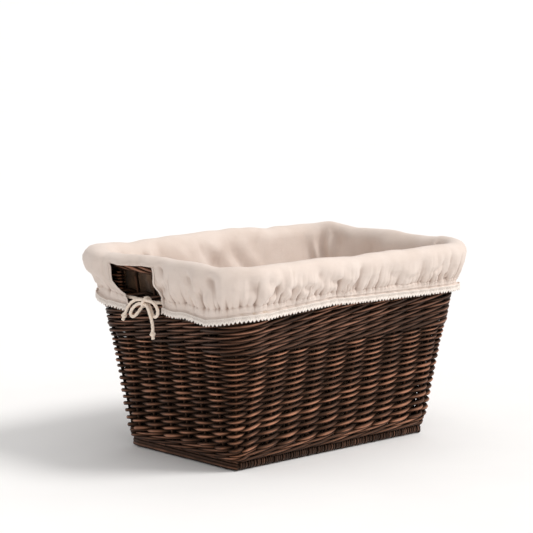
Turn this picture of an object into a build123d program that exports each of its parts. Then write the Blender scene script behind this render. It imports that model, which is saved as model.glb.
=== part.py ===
"""Rectangular willow bread basket with a tied cotton liner.

Frame: X along the long side, Y along the short side, Z up, millimetres. The origin is the middle
of the base on the surface that the basket stands on. The walls lean out evenly on all four sides,
so every level of the wall is the same core rectangle, offset outwards by rho(z).
"""
from build123d import *
from math import cos, hypot, pi, radians, tan
import os

# ---- Driving dimensions ----------------------------------------------------------------------
CORE_X = 186.5  # half-length of the core rectangle, between the centres of the corner arcs
CORE_Y = 105.5  # half-width of the core rectangle
BASE_RHO = 12.0  # corner radius of the outside of the wall, carried down to the ground
LEAN = 0.1694  # how far the wall leans out for each millimetre of height
WALL = 12.0  # thickness of the woven wall

BASE_TOP = 15.0
WALE_TOP = 29.0  # top of the bottom wale
SIDING_TOP = 174.0
UPPER_WALE_TOP = 243.0  # this is also the bottom of the hand holes
BAND_TOP = 272.0  # top of the hand holes
BORDER_TOP = 292.0

BASE_HALF_X = 197.0
BASE_HALF_Y = 116.0
END_ROD_R = 3.7
INNER_STICK_R = 4.5
SIDE_ROD_R = 6.0
INNER_STICK_Y = (-72.0, -36.0, 0.0, 36.0, 72.0)
SIDE_ROD_Y = 108.0

STAKE_R = 3.0
STAKE_FIT = 0.15  # the weave is this much clear of each stake
STAKE_DEPTH = 6.0  # from the outside of the wall to the middle of a stake
STAKE_FOOT = 15.7
STAKE_HEAD = 287.0
LONG_PITCH = 40.0
LONG_COUNT = 10
END_PITCH = 37.0
END_COUNT = 6
HOLE_HALF = 88.5  # half the width of a hand hole, between its outer stakes

LINER_GAP = 1.5  # from the inside of the wall to the liner
CLOTH = 2.0
CREST_RHO = 60.5  # top line of the rolled rim, as a distance from the core
CREST_Z = 301.0
# The rolled rim in section, as (distance from the core, height): outer and inner face of the cloth.
ROLL_OUTSIDE = ((43.8, 282), (45.6, 290.5), (51.5, 298.2), (60.5, 301), (68.8, 298.2), (73.6, 291.5),
                (74.6, 283.5))
ROLL_INSIDE = ((46.8, 282), (48.4, 290), (53.2, 296), (60.5, 298.8), (67.4, 296.4), (71.5, 290.6),
               (72.4, 283.5))
# The skirt in section: it hangs from the roll, draws in at the cord casing and flares at the hem.
SKIRT_OUTSIDE = ((74.6, 283.3), (73.4, 270), (68.5, 254), (62.8, 243.5), (60.9, 236), (60.4, 231),
                 (62.0, 226))
SKIRT_INSIDE = ((72.4, 283.3), (71.2, 270.5), (66.3, 254.6), (58.6, 245), (53.2, 236.5), (56.2, 231),
                (59.8, 226))
# Outline of the slit for the left hand, as (y, z). The right one is the same, turned half round.
SLIT = ((-4, 284), (94, 284), (86, 260), (62, 242), (62, 210), (-14, 210), (-12, 236), (-8, 255))
SLIT_MIDDLE_Y = 25.0
SLIT_REACH = 300.0
CASING_RHO = 57.0
CASING_Z = 236.0
CASING_FIT = 0.25
HEM_Z = 226.0
LACE_Z = 218.0
LACE_RHO = 60.9
LACE_THICK = 1.4

CORD_R = 2.25
CORD_FRONT_EXIT_Y = -13.5
CORD_BACK_EXIT_Y = 63.5
# Routes of the two cord ends at the left bow: out of the casing, through the knot, round a loop,
# back through the knot and down to a stopper knot on the tail.
BOW_BACK_CORD = (
    (-243.5, 63.5, 236.0),
    (-243.5, 56.5, 236.0),
    (-246.1, 47.5, 236.9),
    (-249.4, 38.5, 236.6),
    (-251.6, 29.5, 238.0),
    (-251.4, 20.5, 236.4),
    (-251.6, 12.5, 232.0),
    (-252.2, 6.4, 226.0),
    (-252.8, 1.9, 218.6),
    (-254.4, -4.6, 215.4),
    (-255.6, -11.4, 218.6),
    (-256.6, -14.6, 226.0),
    (-257.4, -10.6, 233.4),
    (-257.2, -3.0, 238.0),
    (-256.6, 6.0, 238.6),
    (-256.4, 16.0, 238.1),
    (-256.8, 26.0, 238.4),
    (-257.6, 35.5, 236.6),
    (-257.6, 44.5, 231.4),
    (-256.4, 52.5, 224.6),
    (-254.6, 59.0, 217.0),
    (-253.0, 65.4, 209.6),
    (-252.2, 68.6, 202.6),
)
BOW_FRONT_CORD = (
    (-243.5, -13.5, 236.0),
    (-243.5, -7.0, 236.0),
    (-245.3, 1.6, 235.2),
    (-246.6, 10.5, 235.6),
    (-246.6, 19.0, 234.6),
    (-248.0, 25.8, 229.6),
    (-250.6, 29.2, 222.4),
    (-253.4, 32.6, 214.6),
    (-255.6, 38.6, 209.4),
    (-257.0, 45.4, 210.6),
    (-257.8, 47.0, 217.8),
    (-258.0, 42.6, 225.0),
    (-257.6, 35.6, 230.4),
    (-256.8, 27.0, 232.6),
    (-256.5, 18.0, 232.4),
    (-257.4, 9.6, 231.6),
    (-258.4, 4.0, 225.0),
    (-257.8, 0.6, 216.4),
    (-256.6, -2.0, 207.6),
    (-255.8, -2.2, 199.0),
    (-255.0, -0.8, 190.8),
    (-254.4, -1.4, 183.4),
)
KNOT_AT = (-251.8, 17.0, 235.2)
KNOT_SIZE = (16.0, 12.0, 14.0)
KNOT_ROUND = 4.0
KNOT_FIT = 0.1
STOPPER_R = 4.6
BORDER_WIDTH = 15.0
BORDER_ROUND = 5.0
BORDER_SHIFT = -4.0  # from the outside of the wall to the middle of the border

PARTS = "parts"
os.makedirs(PARTS, exist_ok=True)


def rho(z, offset=0.0):
    """Distance from the core rectangle to the outside of the wall at height z, plus offset."""
    return BASE_RHO + LEAN * z + offset


def outline(z, offset):
    """Width, depth and corner radius of the wall's outline at height z."""
    r = rho(z, offset)
    return 2 * (CORE_X + r), 2 * (CORE_Y + r), max(r, 1.0)


def stake_plane(anchor, outward, z):
    """A plane square to a stake, at height z. The stake leans out along outward."""
    r = rho(z, -STAKE_DEPTH)
    origin = (anchor[0] + outward[0] * r, anchor[1] + outward[1] * r, z)
    return Plane(origin=origin, z_dir=(outward[0] * LEAN, outward[1] * LEAN, 1))


def stakes_along(count, pitch):
    """Places evenly spaced about the middle of a side."""
    return [(i - (count - 1) / 2) * pitch for i in range(count)]


def side_stakes(side):
    """(anchor, outward direction) of each stake of one side of the basket."""
    if side in ("front", "back"):
        s = -1 if side == "front" else 1
        return [((x, s * CORE_Y), (0, s)) for x in stakes_along(LONG_COUNT, LONG_PITCH)]
    if side in ("left", "right"):
        s = -1 if side == "left" else 1
        return [((s * CORE_X, y), (s, 0)) for y in stakes_along(END_COUNT, END_PITCH)]
    diagonal = cos(radians(45))
    signs = [(-1, -1), (1, -1), (1, 1), (-1, 1)]
    return [((a * CORE_X, b * CORE_Y), (a * diagonal, b * diagonal)) for a, b in signs]


SIDES = ("front", "back", "left", "right", "corner")
ALL_STAKES = [stake for side in SIDES for stake in side_stakes(side)]


def save(builder, name):
    builder.part.label = name
    export_step(builder.part, os.path.join(PARTS, name + ".step"))


# ---- Base: lengthwise sticks with weavers packed across them ------------------------------------
def make_base():
    weave_x = BASE_HALF_X - 2 * END_ROD_R - 0.1
    stick_z = BASE_TOP / 2
    with BuildPart() as weave:
        with BuildSketch(Plane.XY):
            Rectangle(2 * weave_x, 2 * BASE_HALF_Y)
        extrude(amount=BASE_TOP)
        fillet(weave.edges().filter_by(Axis.X), 2.5)
        with BuildSketch(Plane.YZ.offset(-weave_x)):
            with Locations(*[(y, stick_z) for y in INNER_STICK_Y]):
                Circle(INNER_STICK_R + STAKE_FIT)
            with Locations((-SIDE_ROD_Y, stick_z), (SIDE_ROD_Y, stick_z)):
                Circle(SIDE_ROD_R + STAKE_FIT)
        extrude(amount=2 * weave_x, mode=Mode.SUBTRACT)
    save(weave, "base_weave")

    with BuildPart() as sticks:
        with BuildSketch(Plane.YZ.offset(-weave_x)):
            with Locations(*[(y, stick_z) for y in INNER_STICK_Y]):
                Circle(INNER_STICK_R)
        extrude(amount=2 * weave_x)
    save(sticks, "base_sticks")

    with BuildPart() as side_rods:
        with BuildSketch(Plane.YZ.offset(-weave_x)):
            with Locations((-SIDE_ROD_Y, stick_z), (SIDE_ROD_Y, stick_z)):
                Circle(SIDE_ROD_R)
        extrude(amount=2 * weave_x)
    save(side_rods, "base_side_rods")

    rod_x = BASE_HALF_X - END_ROD_R
    rod_half = BASE_HALF_Y - 3.0
    with BuildPart() as end_rods:
        with BuildSketch(Plane.XZ.offset(-rod_half)):
            with Locations(*[(s * rod_x, z) for s in (-1, 1) for z in (END_ROD_R, 3 * END_ROD_R + 0.1)]):
                Circle(END_ROD_R)
        extrude(amount=2 * rod_half)
    save(end_rods, "base_end_rods")


# ---- Stakes -------------------------------------------------------------------------------------
def make_stakes(side, name):
    with BuildPart() as stakes:
        for anchor, outward in side_stakes(side):
            with BuildSketch(stake_plane(anchor, outward, STAKE_FOOT)):
                Circle(STAKE_R)
        extrude(amount=(STAKE_HEAD - STAKE_FOOT) * hypot(1, LEAN))
    save(stakes, name)


# ---- Woven rings of the wall, each pierced by the stakes ----------------------------------------
def make_ring(name, z_low, z_high, outer=0.0, inner=-WALL):
    with BuildPart() as ring:
        for z in (z_low, z_high):
            with BuildSketch(Plane.XY.offset(z)):
                RectangleRounded(*outline(z, outer))
        loft(ruled=True)
        for z in (z_low, z_high):
            with BuildSketch(Plane.XY.offset(z)):
                RectangleRounded(*outline(z, inner))
        loft(ruled=True, mode=Mode.SUBTRACT)
        for anchor, outward in ALL_STAKES:
            with BuildSketch(stake_plane(anchor, outward, z_low - 3)):
                Circle(STAKE_R + STAKE_FIT)
        extrude(amount=min(z_high + 3, STAKE_HEAD + 1) - z_low + 3, mode=Mode.SUBTRACT)
    save(ring, name)


# ---- Bands of weave between the two hand holes, one round each long side ------------------------
def make_band(side, name):
    s = -1 if side == "front" else 1
    reach = 2 * (CORE_X + rho(BAND_TOP)) + 20
    with BuildPart() as band:
        for z in (UPPER_WALE_TOP, BAND_TOP):
            with BuildSketch(Plane.XY.offset(z)):
                RectangleRounded(*outline(z, 0))
        loft(ruled=True)
        for z in (UPPER_WALE_TOP, BAND_TOP):
            with BuildSketch(Plane.XY.offset(z)):
                RectangleRounded(*outline(z, -WALL))
        loft(ruled=True, mode=Mode.SUBTRACT)
        with BuildSketch(Plane.XY.offset(UPPER_WALE_TOP)):
            with Locations((0, -s * reach / 2 + s * HOLE_HALF)):
                Rectangle(reach, reach)
        extrude(amount=BAND_TOP - UPPER_WALE_TOP, mode=Mode.SUBTRACT)
        for anchor, outward in ALL_STAKES:
            if s * anchor[1] > HOLE_HALF:
                with BuildSketch(stake_plane(anchor, outward, UPPER_WALE_TOP - 3)):
                    Circle(STAKE_R + STAKE_FIT)
        extrude(amount=BAND_TOP - UPPER_WALE_TOP + 8, mode=Mode.SUBTRACT)
    save(band, name)


# ---- Cotton liner: bottom panel, wall with rolled rim, two skirts with a cord casing ------------
def section_plane(y):
    """Plane across the left wall: local x is the distance out from the core, local y is Z."""
    return Plane(origin=(-CORE_X, y, 0), x_dir=(-1, 0, 0), z_dir=(0, 1, 0))


def half_path(r, z, y_left, y_right):
    """Path round the front at distance r from the core, from the left wall to the right wall."""
    x, y = CORE_X + r, CORE_Y + r
    with BuildLine(Plane.XY.offset(z)) as path:
        Line((-x, y_left), (-x, -CORE_Y))
        CenterArc((-CORE_X, -CORE_Y), r, 180, 90)
        Line((-CORE_X, -y), (CORE_X, -y))
        CenterArc((CORE_X, -CORE_Y), r, 270, 90)
        Line((x, -CORE_Y), (x, y_right))
    return path.wires()[0]


def full_path(r, z):
    """Closed path all round at distance r from the core, from the middle of the left wall."""
    x, y = CORE_X + r, CORE_Y + r
    with BuildLine(Plane.XY.offset(z)) as path:
        Line((-x, 0), (-x, -CORE_Y))
        CenterArc((-CORE_X, -CORE_Y), r, 180, 90)
        Line((-CORE_X, -y), (CORE_X, -y))
        CenterArc((CORE_X, -CORE_Y), r, 270, 90)
        Line((x, -CORE_Y), (x, CORE_Y))
        CenterArc((CORE_X, CORE_Y), r, 0, 90)
        Line((CORE_X, y), (-CORE_X, y))
        CenterArc((-CORE_X, CORE_Y), r, 90, 90)
        Line((-x, CORE_Y), (-x, 0))
    return path.wires()[0]


def make_border():
    """The plaited border as one plain rod of its outer size, blind-bored for the stake ends."""
    middle_z = (BAND_TOP + BORDER_TOP) / 2
    middle_rho = rho(middle_z, BORDER_SHIFT)
    path = full_path(middle_rho, middle_z)
    with BuildPart() as border:
        with BuildSketch(section_plane(0)):
            with Locations((middle_rho, middle_z)):
                RectangleRounded(BORDER_WIDTH, BORDER_TOP - BAND_TOP - 0.4, BORDER_ROUND)
        sweep(path=path)
        for anchor, outward in ALL_STAKES:
            with BuildSketch(stake_plane(anchor, outward, BAND_TOP - 3)):
                Circle(STAKE_R + STAKE_FIT)
        extrude(amount=STAKE_HEAD - BAND_TOP + 4, mode=Mode.SUBTRACT)
    save(border, "border")


def make_liner_bottom():
    z = BASE_TOP + 1
    width, depth, _ = outline(z, -WALL - LINER_GAP - CLOTH)
    with BuildPart() as bottom:
        with BuildSketch(Plane.XY.offset(z)):
            RectangleRounded(width - 0.6, depth - 0.6, 1.0)
        extrude(amount=CLOTH)
    save(bottom, "liner_bottom")


def make_liner_wall():
    bottom_z = BASE_TOP + 1
    top_z = BORDER_TOP - 4
    path = full_path(CREST_RHO, CREST_Z)
    with BuildPart() as wall:
        for z in (bottom_z, top_z):
            with BuildSketch(Plane.XY.offset(z)):
                RectangleRounded(*outline(z, -WALL - LINER_GAP))
        loft(ruled=True)
        for z in (bottom_z, top_z):
            with BuildSketch(Plane.XY.offset(z)):
                RectangleRounded(*outline(z, -WALL - LINER_GAP - CLOTH))
        loft(ruled=True, mode=Mode.SUBTRACT)
        with BuildSketch(section_plane(0)):
            with BuildLine():
                Spline(*ROLL_OUTSIDE)
                Line(ROLL_OUTSIDE[-1], ROLL_INSIDE[-1])
                Spline(*ROLL_INSIDE)
                Line(ROLL_INSIDE[0], ROLL_OUTSIDE[0])
            make_face()
        sweep(path=path)
    save(wall, "liner_wall")


def make_skirts():
    """One skirt hangs over each long side. At each short end they part at a slit."""
    path = half_path(CREST_RHO, CREST_Z, SLIT_MIDDLE_Y, -SLIT_MIDDLE_Y)
    with BuildPart() as front:
        with BuildSketch(section_plane(SLIT_MIDDLE_Y)):
            with BuildLine():
                Spline(*SKIRT_OUTSIDE)
                Line(SKIRT_OUTSIDE[-1], SKIRT_INSIDE[-1])
                Spline(*SKIRT_INSIDE)
                Line(SKIRT_INSIDE[0], SKIRT_OUTSIDE[0])
            make_face()
            with Locations((CASING_RHO, CASING_Z)):
                Circle(CORD_R + CASING_FIT, mode=Mode.SUBTRACT)
        sweep(path=path)
        for turn in (0, 180):
            with BuildSketch(Plane.YZ.rotated((0, 0, turn))):
                Polygon(*SLIT, align=None)
        extrude(amount=-SLIT_REACH, mode=Mode.SUBTRACT)
    save(front, "skirt_front")
    with BuildPart() as back:
        add(front.part, rotation=(0, 0, 180))
    save(back, "skirt_back")


def make_lace():
    path = half_path(LACE_RHO, CREST_Z, SLIT_MIDDLE_Y, -SLIT_MIDDLE_Y)
    with BuildPart() as front:
        with BuildSketch(section_plane(SLIT_MIDDLE_Y)):
            with Locations((LACE_RHO, (HEM_Z + LACE_Z) / 2)):
                Rectangle(LACE_THICK, HEM_Z - LACE_Z)
        sweep(path=path)
        for turn in (0, 180):
            with BuildSketch(Plane.YZ.rotated((0, 0, turn))):
                Polygon(*SLIT, align=None)
        extrude(amount=-SLIT_REACH, mode=Mode.SUBTRACT)
    save(front, "lace_front")
    with BuildPart() as back:
        add(front.part, rotation=(0, 0, 180))
    save(back, "lace_back")


# ---- Drawcords: one in each skirt's casing, tied to the other in a bow at both ends --------------
def make_drawcords():
    path = half_path(CASING_RHO, CASING_Z, CORD_FRONT_EXIT_Y, -CORD_BACK_EXIT_Y)
    with BuildPart() as front:
        with BuildSketch(section_plane(CORD_FRONT_EXIT_Y)):
            with Locations((CASING_RHO, CASING_Z)):
                Circle(CORD_R)
        sweep(path=path)
    save(front, "drawcord_front")
    with BuildPart() as back:
        add(front.part, rotation=(0, 0, 180))
    save(back, "drawcord_back")


def arc_radii(points):
    """Each bend's radius: 0.45 of its shorter run, over the tangent of half the turn."""
    radii = []
    for before, here, after in zip(points, points[1:], points[2:]):
        run_in = Vector(*here) - Vector(*before)
        run_out = Vector(*after) - Vector(*here)
        half_turn = radians(run_in.get_angle(run_out)) / 2
        radii.append(0.45 * min(run_in.length, run_out.length) / tan(half_turn))
    return radii


def make_bow(side, turn):
    """The two cord ends of one short end, the knot that they share and a stopper on each tail."""
    paths = {}
    for which, points in (("back", BOW_BACK_CORD), ("front", BOW_FRONT_CORD)):
        radii = arc_radii(points)
        with BuildLine() as route:
            FilletPolyline(*points, radius=radii)
        path = route.wires()[0]
        paths[which] = path
        with BuildPart() as cord:
            with BuildSketch(Plane(origin=path @ 0, z_dir=path % 0)):
                Circle(CORD_R)
            sweep(path=path)
        with BuildPart() as placed:
            add(cord.part, rotation=(0, 0, turn))
        other = {"back": "front", "front": "back"}[which] if turn else which
        save(placed, f"{side}_bow_cord_{other}")
        expected = pi * CORD_R**2 * path.length
        print(side, which, "cord length", round(path.length, 1), "volume share",
              round(cord.part.volume / expected, 4), "radii", [round(r, 1) for r in radii])

    with BuildPart() as knot:
        with Locations(KNOT_AT):
            Box(*KNOT_SIZE)
        fillet(knot.edges(), KNOT_ROUND)
        for path in paths.values():
            with BuildSketch(Plane(origin=path @ 0, z_dir=path % 0)):
                Circle(CORD_R + KNOT_FIT)
            sweep(path=path, mode=Mode.SUBTRACT)
    with BuildPart() as placed_knot:
        add(knot.part, rotation=(0, 0, turn))
    save(placed_knot, f"{side}_bow_knot")

    with BuildPart() as stoppers:
        for points in (BOW_BACK_CORD, BOW_FRONT_CORD):
            with Locations(points[-2]):
                Sphere(STOPPER_R)
        for path in paths.values():
            with BuildSketch(Plane(origin=path @ 0, z_dir=path % 0)):
                Circle(CORD_R + KNOT_FIT)
            sweep(path=path, mode=Mode.SUBTRACT)
    with BuildPart() as placed_stoppers:
        add(stoppers.part, rotation=(0, 0, turn))
    save(placed_stoppers, f"{side}_tail_knots")


make_base()
make_stakes("front", "front_stakes")
make_stakes("back", "back_stakes")
make_stakes("left", "left_end_stakes")
make_stakes("right", "right_end_stakes")
make_stakes("corner", "corner_stakes")
make_ring("bottom_wale", BASE_TOP, WALE_TOP)
make_ring("siding", WALE_TOP, SIDING_TOP)
make_ring("upper_wale", SIDING_TOP, UPPER_WALE_TOP)
make_band("front", "rim_band_front")
make_band("back", "rim_band_back")
make_border()
make_liner_bottom()
make_liner_wall()
make_skirts()
make_lace()
make_drawcords()
make_bow("left", 0)
make_bow("right", 180)
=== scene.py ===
"""Looks of the rectangular willow bread basket with its tied cotton liner.

Every rod of the weave is a tube that goes in and out of the 36 stakes, and the cotton is one gathered
surface from the inside of the basket, over the rim and down to the hem. Metres throughout.
"""
import bpy
import math
import numpy as np
from mathutils import Matrix, Vector


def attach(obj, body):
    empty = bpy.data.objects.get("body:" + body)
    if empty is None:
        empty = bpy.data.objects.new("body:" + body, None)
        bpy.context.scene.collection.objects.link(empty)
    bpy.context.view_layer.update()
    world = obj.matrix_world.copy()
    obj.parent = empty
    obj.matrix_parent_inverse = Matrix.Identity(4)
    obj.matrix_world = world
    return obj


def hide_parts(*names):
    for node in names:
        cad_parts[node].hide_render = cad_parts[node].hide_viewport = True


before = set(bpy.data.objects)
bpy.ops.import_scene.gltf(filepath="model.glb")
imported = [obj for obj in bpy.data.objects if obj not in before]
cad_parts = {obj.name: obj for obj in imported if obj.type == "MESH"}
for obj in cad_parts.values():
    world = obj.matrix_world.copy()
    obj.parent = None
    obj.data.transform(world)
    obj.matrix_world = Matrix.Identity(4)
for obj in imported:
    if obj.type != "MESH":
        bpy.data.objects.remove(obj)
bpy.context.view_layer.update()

# ---- The basket's own sizes, as in the CAD ------------------------------------------------------
CORE_X, CORE_Y = 0.1865, 0.1055
BASE_RHO, LEAN, HALF_WALL = 0.012, 0.1694, 0.006
BASE_TOP, WALE_TOP, SIDING_TOP, UPPER_TOP, BAND_TOP = 0.015, 0.029, 0.174, 0.243, 0.272
STAKE_FOOT, STAKE_R = 0.0157, 0.003
MM = 0.001


def link(name, data):
    """Puts a new object with this data into the scene."""
    obj = bpy.data.objects.new(name, data)
    bpy.context.scene.collection.objects.link(obj)
    return obj


# ---- Camera -------------------------------------------------------------------------------------
def make_camera():
    azimuth, elevation, distance = math.radians(-44.10), math.radians(10.09), 3.196
    pan, tilt, roll = math.radians(0.396), math.radians(-2.047), math.radians(0.544)

    def towards_camera(a, e):
        return Vector((math.sin(a) * math.cos(e), -math.cos(a) * math.cos(e), math.sin(e)))

    place = Vector((0, 0, 0.15)) + towards_camera(azimuth, elevation) * distance
    ahead = -towards_camera(azimuth + pan, elevation + tilt)
    right = ahead.cross(Vector((0, 0, 1))).normalized()
    up = right.cross(ahead)
    right, up = right * math.cos(roll) + up * math.sin(roll), up * math.cos(roll) - right * math.sin(roll)
    data = bpy.data.cameras.new("camera")
    data.lens = 142.16
    data.sensor_width = 36
    data.clip_end = 200
    camera = link("camera", data)
    rows = [[right[i], up[i], -ahead[i], place[i]] for i in range(3)] + [[0, 0, 0, 1]]
    camera.matrix_world = Matrix(rows)
    bpy.context.scene.camera = camera


make_camera()


# ---- Meshes and numbers -------------------------------------------------------------------------
def smooth(t):
    t = np.clip(t, 0, 1)
    return t * t * (3 - 2 * t)


def value_noise(x, seed, period=None):
    """Smooth noise from -1 to 1 along x, one random value at each whole number."""
    table = np.random.default_rng(seed).uniform(-1, 1, period or 4096)
    cell = np.floor(x).astype(int)
    t = smooth(x - cell)
    return table[cell % len(table)] * (1 - t) + table[(cell + 1) % len(table)] * t


def value_noise_2d(x, y, seed, period):
    """Smooth noise from -1 to 1 over x and y. It repeats along x after period cells."""
    table = np.random.default_rng(seed).uniform(-1, 1, (period, 512))
    cx, cy = np.floor(x).astype(int), np.floor(y).astype(int)
    tx, ty = smooth(x - cx), smooth(y - cy)
    x0, x1, y0, y1 = cx % period, (cx + 1) % period, cy % 512, (cy + 1) % 512
    low = table[x0, y0] * (1 - tx) + table[x1, y0] * tx
    high = table[x0, y1] * (1 - tx) + table[x1, y1] * tx
    return low * (1 - ty) + high * ty


def distances(line):
    """The distance along a line of each of its points."""
    return np.concatenate([[0], np.cumsum(np.linalg.norm(np.diff(line, axis=0), axis=1))])


def unit(v):
    return v / np.maximum(np.linalg.norm(v, axis=-1, keepdims=True), 1e-12)


def new_object(name, verts, faces, material, smooth_shading=True):
    mesh = bpy.data.meshes.new(name)
    mesh.from_pydata(np.asarray(verts).tolist(), [], faces)
    mesh.validate()
    mesh.materials.append(material)
    mesh.polygons.foreach_set("use_smooth", np.full(len(mesh.polygons), smooth_shading))
    return link(name, mesh)


def point_attribute(obj, name, values):
    values = np.asarray(values, float)
    kind = "FLOAT" if values.ndim == 1 else "FLOAT_VECTOR"
    layer = obj.data.attributes.new(name, kind, "POINT")
    layer.data.foreach_set("value" if values.ndim == 1 else "vector", values.ravel())


def add_piece(obj, slot, *nodes):
    if nodes:
        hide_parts(*nodes)
    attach(obj, "root")
    return obj


class Rods:
    """Gathers tubes that follow lines, and makes them into one mesh with attributes for its material."""

    def __init__(self):
        self.verts, self.faces, self.count = [], [], 0
        self.grain, self.tone, self.crown = [], [], []

    def add(self, line, outward, radius, tone, sides=6, wide=1.0, lobes=0, twist=0.0, off=None, reach=1.0):
        """Adds one tube. Its crown is high on the crests and low in the gaps, and follows off if given."""
        line = np.asarray(line, float)
        n = len(line)
        radius = np.broadcast_to(np.asarray(radius, float), n)
        outward = np.broadcast_to(np.asarray(outward, float), line.shape)
        ahead = unit(np.gradient(line, axis=0))
        across = unit(outward - (outward * ahead).sum(1, keepdims=True) * ahead)
        beside = np.cross(ahead, across)
        turn = np.arange(sides) / sides * 2 * math.pi
        run = distances(line)
        swell = 1 + (0.11 * np.cos(lobes * turn[None] - twist * run[:, None]) if lobes else 0)
        a = (radius[:, None] * np.cos(turn)[None] * swell)[..., None]
        b = (wide * radius[:, None] * np.sin(turn)[None] * swell)[..., None]
        ring = line[:, None] + across[:, None] * a + beside[:, None] * b
        start = self.count
        self.verts.append(ring.reshape(-1, 3))
        grain = np.concatenate([np.broadcast_to(run[:, None, None] + tone * 7, (n, sides, 1)), a, b], -1)
        self.grain.append(grain.reshape(-1, 3))
        self.tone.append(np.full(n * sides, tone))
        # crown feeds the willow's painted light: a painted highlight where it is high, painted shade where it
        # is low
        faced = np.cos(turn)[None] + np.zeros((n, 1))
        if off is None:
            # without off, the edges of each rod are low, so the grooves between strands get painted shade
            crown = 0.15 + 0.85 * np.abs(faced)
        else:
            crown = np.abs(0.27 * (off / reach)[:, None] + 0.73 * faced)
        self.crown.append(crown.ravel())
        i, j = np.meshgrid(np.arange(n - 1), np.arange(sides), indexing="ij")
        k = (j + 1) % sides
        quads = start + np.stack([i * sides + j, i * sides + k, (i + 1) * sides + k, (i + 1) * sides + j], -1)
        self.faces += quads.reshape(-1, 4).tolist()
        self.faces.append([start + m for m in reversed(range(sides))])
        self.faces.append([start + (n - 1) * sides + m for m in range(sides)])
        self.count += n * sides

    def make(self, name, material):
        obj = new_object(name, np.concatenate(self.verts), self.faces, material)
        point_attribute(obj, "grain", np.concatenate(self.grain))
        point_attribute(obj, "tone", np.concatenate(self.tone))
        point_attribute(obj, "crown", np.concatenate(self.crown))
        return obj


# ---- Materials ----------------------------------------------------------------------------------
class Nodes:
    """A short way to build one node material."""

    def __init__(self, name):
        self.material = bpy.data.materials.new(name)
        self.material.use_nodes = True
        self.tree = self.material.node_tree
        self.shader = self.tree.nodes["Principled BSDF"]

    def add(self, kind, inputs=(), **settings):
        node = self.tree.nodes.new("ShaderNode" + kind)
        for key, value in settings.items():
            setattr(node, key, value)
        for key, value in dict(inputs).items():
            self.put(node.inputs[key], value)
        return node

    def put(self, socket, value):
        if isinstance(value, bpy.types.NodeSocket):
            self.tree.links.new(value, socket)
        else:
            socket.default_value = value

    def attribute(self, name, output="Fac"):
        return self.add("Attribute", attribute_name=name).outputs[output]

    def ramp(self, factor, *stops):
        """A colour ramp. A stop's colour may be one number, for a grey."""
        node = self.add("ValToRGB", {"Fac": factor})
        for i, (place, colour) in enumerate(stops):
            stop = node.color_ramp.elements[i] if i < 2 else node.color_ramp.elements.new(place)
            stop.position = place
            stop.color = (*colour, 1) if isinstance(colour, tuple) else (colour, colour, colour, 1)
        return node.outputs["Color"]

    def mix(self, factor, a, b, kind="MIX"):
        node = self.add("Mix", data_type="RGBA", blend_type=kind)
        self.put(node.inputs[0], factor)
        self.put(node.inputs[6], a)
        self.put(node.inputs[7], b)
        return node.outputs[2]

    def maths(self, operation, a, b=0.0):
        node = self.add("Math", operation=operation)
        self.put(node.inputs[0], a)
        self.put(node.inputs[1], b)
        return node.outputs[0]

    def noise(self, vector, scale, detail=3.0, rough=0.5):
        node = self.add("TexNoise", {"Vector": vector, "Scale": scale, "Detail": detail, "Roughness": rough})
        return node.outputs["Fac"]

    def stretch(self, vector, x, y, z):
        return self.add("Mapping", {"Vector": vector, "Scale": (x, y, z)}).outputs["Vector"]

    def bump(self, height, distance, strength=1.0, normal=None):
        node = self.add("Bump", {"Height": height, "Distance": distance, "Strength": strength})
        if normal is not None:
            self.put(node.inputs["Normal"], normal)
        return node.outputs["Normal"]

    def finish(self, **values):
        for key, value in values.items():
            self.put(self.shader.inputs[key.replace("_", " ")], value)
        return self.material


def willow_material(name, dark, middle, light):
    """Stained, varnished willow: streaks along each rod, painted shade in the gaps and a painted highlight on
    the crests.
    """
    n = Nodes(name)
    tone = n.attribute("tone")
    crown = n.attribute("crown")
    grain = n.attribute("grain", "Vector")
    where = n.add("TexCoord").outputs["Object"]
    streak = n.noise(n.stretch(grain, 45, 900, 900), 1.0, 4.0, 0.6)
    patch = n.noise(grain, 38.0, 2.0)
    broad = n.noise(where, 9.0, 2.0)
    shade = n.maths("ADD", n.maths("MULTIPLY", tone, 0.30), n.maths("MULTIPLY", patch, 0.34))
    shade = n.maths("ADD", shade, n.maths("MULTIPLY", n.maths("SUBTRACT", broad, 0.5), 0.35))
    # painted light: the crown lightens the crests as a highlight and darkens the gaps as shade
    shade = n.maths("ADD", shade, n.maths("MULTIPLY", n.maths("SUBTRACT", crown, 0.69), 1.5))
    colour = n.ramp(shade, (0.12, dark), (0.85, light), (0.48, middle))
    colour = n.mix(n.ramp(streak, (0.36, 0.55), (0.62, 0)), colour, (*dark, 1))
    # painted shade: where the crown is low, in the gaps, the colour goes nearly black
    colour = n.mix(n.ramp(crown, (0.22, 0.92), (0.58, 0)), colour, (*[0.25 * v for v in dark], 1))
    rough = n.ramp(streak, (0.3, 0.52), (0.7, 0.30))
    rough = n.mix(n.ramp(crown, (0.40, 1), (0.85, 0)), rough, (0.9, 0.9, 0.9, 1))
    normal = n.bump(streak, 0.25 * MM, 0.8)
    return n.finish(Base_Color=colour, Roughness=rough, Normal=normal, Specular_IOR_Level=0.36,
                    Specular_Tint=(1, 0.64, 0.46, 1))


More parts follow.
